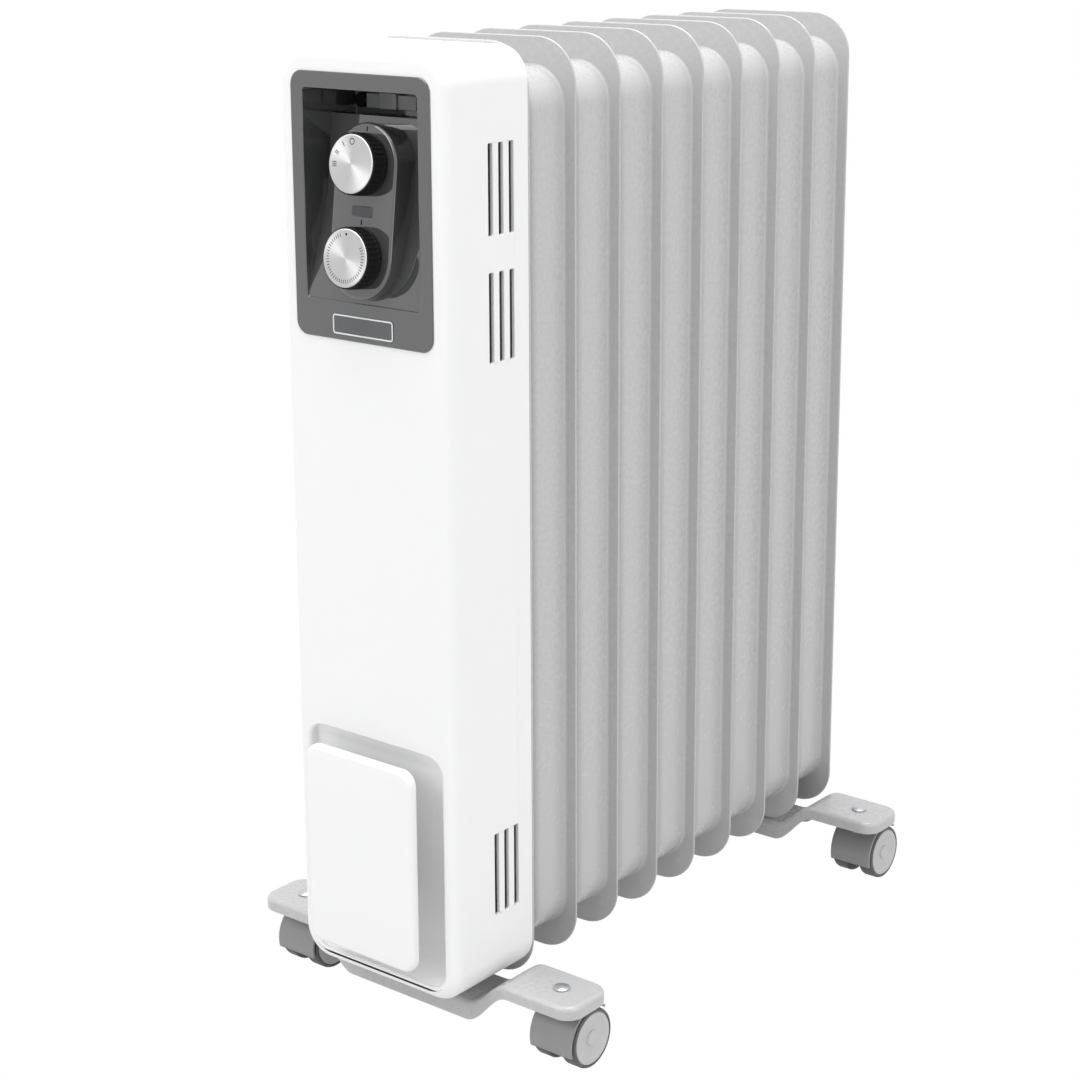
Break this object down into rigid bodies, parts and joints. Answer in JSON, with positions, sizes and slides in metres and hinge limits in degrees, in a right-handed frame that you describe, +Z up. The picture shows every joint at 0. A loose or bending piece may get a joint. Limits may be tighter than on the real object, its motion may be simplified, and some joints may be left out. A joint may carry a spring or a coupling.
{
  "type": "oil filled radiator heater",
  "caption": "Free-standing oil filled radiator: a row of pressed white elements behind a control housing with two knobs and a cord wrap, on two arched feet with swivel casters.",
  "frame": {"origin": "on the floor, below the middle of the bounding box", "axes": "+Z up, the control panel faces -Y, X across the elements"},
  "size_m": [0.272, 0.464, 0.6404],
  "materials": {
    "housing_white": "satin moulded",
    "fin_enamel": "satin baked enamel",
    "panel_grey": "gloss",
    "badge_silver": "gloss",
    "lamp_smoke": "smoked",
    "knob_black": "fine moulded",
    "cap_aluminium": "spun",
    "switch_black": "moulded",
    "terminal_white": "moulded",
    "zinc_steel": "zinc plated",
    "element_copper": "drawn",
    "loom_rubber": "matte",
    "grommet_rubber": "matte",
    "foot_enamel": "satin enamel",
    "caster_grey": "moulded"
  },
  "bodies": {
    "root": {"housing": "housing_white", "control_panel": "panel_grey", "timer_blank": "panel_grey", "badge_plate": "badge_silver", "lamp_lens": "lamp_smoke", "lamp_body": "terminal_white", "power_switch": "switch_black", "thermostat": "switch_black", "chassis_bracket": "zinc_steel", "bracket_screws": "zinc_steel", "housing_screws": "zinc_steel", "end_plate": "fin_enamel", "hub_collars": "fin_enamel", "hub_plugs": "fin_enamel", "heating_element": "element_copper", "thermal_cutout": "zinc_steel", "tip_over_switch": "switch_black", "terminal_block": "terminal_white", "wiring_loom": "loom_rubber", "cord_plate": "housing_white", "cord_post": "housing_white", "cord_inlet": "grommet_rubber", "front_foot": "foot_enamel", "rear_foot": "foot_enamel", "foot_spacers": "zinc_steel", "foot_bolts": "zinc_steel", "u_bolt": "zinc_steel", "wing_nuts": "zinc_steel", "stem_bushes": "switch_black", "fin_1": "fin_enamel", "fin_2": "fin_enamel", "fin_3": "fin_enamel", "fin_4": "fin_enamel", "fin_5": "fin_enamel", "fin_6": "fin_enamel", "fin_7": "fin_enamel", "fin_8": "fin_enamel"},
    "power_knob": {"power_knob": "knob_black", "power_cap": "cap_aluminium", "power_shaft": "zinc_steel"},
    "thermostat_knob": {"thermostat_knob": "knob_black", "thermostat_cap": "cap_aluminium", "thermostat_shaft": "zinc_steel"},
    "front_left_caster": {"front_left_hood": "caster_grey", "front_left_pins": "zinc_steel"},
    "front_left_wheel_left": {"front_left_wheel_left": "caster_grey"},
    "front_left_wheel_right": {"front_left_wheel_right": "caster_grey"},
    "front_right_caster": {"front_right_hood": "caster_grey", "front_right_pins": "zinc_steel"},
    "front_right_wheel_left": {"front_right_wheel_left": "caster_grey"},
    "front_right_wheel_right": {"front_right_wheel_right": "caster_grey"},
    "rear_left_caster": {"rear_left_hood": "caster_grey", "rear_left_pins": "zinc_steel"},
    "rear_left_wheel_left": {"rear_left_wheel_left": "caster_grey"},
    "rear_left_wheel_right": {"rear_left_wheel_right": "caster_grey"},
    "rear_right_caster": {"rear_right_hood": "caster_grey", "rear_right_pins": "zinc_steel"},
    "rear_right_wheel_left": {"rear_right_wheel_left": "caster_grey"},
    "rear_right_wheel_right": {"rear_right_wheel_right": "caster_grey"}
  },
  "joints": [
    {"name": "power_turn", "type": "hinge", "parent": "root", "child": "power_knob", "pos_m": [0, -0.21046, 0.5699], "axis": [0, 0.9921, -0.1253], "range_deg": [0, 90]},
    {"name": "thermostat_turn", "type": "hinge", "parent": "root", "child": "thermostat_knob", "pos_m": [0, -0.21744, 0.51464], "axis": [0, 0.9921, -0.1253], "range_deg": [0, 300]},
    {"name": "front_left_swivel", "type": "hinge", "parent": "root", "child": "front_left_caster", "pos_m": [-0.112, -0.16636, 0.049], "axis": [0, 0, 1], "continuous": true},
    {"name": "front_left_wheel_left_roll", "type": "hinge", "parent": "front_left_caster", "child": "front_left_wheel_left", "pos_m": [-0.112, -0.15576, 0.0196], "axis": [1, 0, 0], "continuous": true},
    {"name": "front_left_wheel_right_roll", "type": "hinge", "parent": "front_left_caster", "child": "front_left_wheel_right", "pos_m": [-0.112, -0.15576, 0.0196], "axis": [1, 0, 0], "continuous": true},
    {"name": "front_right_swivel", "type": "hinge", "parent": "root", "child": "front_right_caster", "pos_m": [0.112, -0.16636, 0.049], "axis": [0, 0, 1], "continuous": true},
    {"name": "front_right_wheel_left_roll", "type": "hinge", "parent": "front_right_caster", "child": "front_right_wheel_left", "pos_m": [0.112, -0.15576, 0.0196], "axis": [1, 0, 0], "continuous": true},
    {"name": "front_right_wheel_right_roll", "type": "hinge", "parent": "front_right_caster", "child": "front_right_wheel_right", "pos_m": [0.112, -0.15576, 0.0196], "axis": [1, 0, 0], "continuous": true},
    {"name": "rear_left_swivel", "type": "hinge", "parent": "root", "child": "rear_left_caster", "pos_m": [-0.112, 0.19584, 0.049], "axis": [0, 0, 1], "continuous": true},
    {"name": "rear_left_wheel_left_roll", "type": "hinge", "parent": "rear_left_caster", "child": "rear_left_wheel_left", "pos_m": [-0.112, 0.20644, 0.0196], "axis": [1, 0, 0], "continuous": true},
    {"name": "rear_left_wheel_right_roll", "type": "hinge", "parent": "rear_left_caster", "child": "rear_left_wheel_right", "pos_m": [-0.112, 0.20644, 0.0196], "axis": [1, 0, 0], "continuous": true},
    {"name": "rear_right_swivel", "type": "hinge", "parent": "root", "child": "rear_right_caster", "pos_m": [0.112, 0.19584, 0.049], "axis": [0, 0, 1], "continuous": true},
    {"name": "rear_right_wheel_left_roll", "type": "hinge", "parent": "rear_right_caster", "child": "rear_right_wheel_left", "pos_m": [0.112, 0.20644, 0.0196], "axis": [1, 0, 0], "continuous": true},
    {"name": "rear_right_wheel_right_roll", "type": "hinge", "parent": "rear_right_caster", "child": "rear_right_wheel_right", "pos_m": [0.112, 0.20644, 0.0196], "axis": [1, 0, 0], "continuous": true}
  ]
}
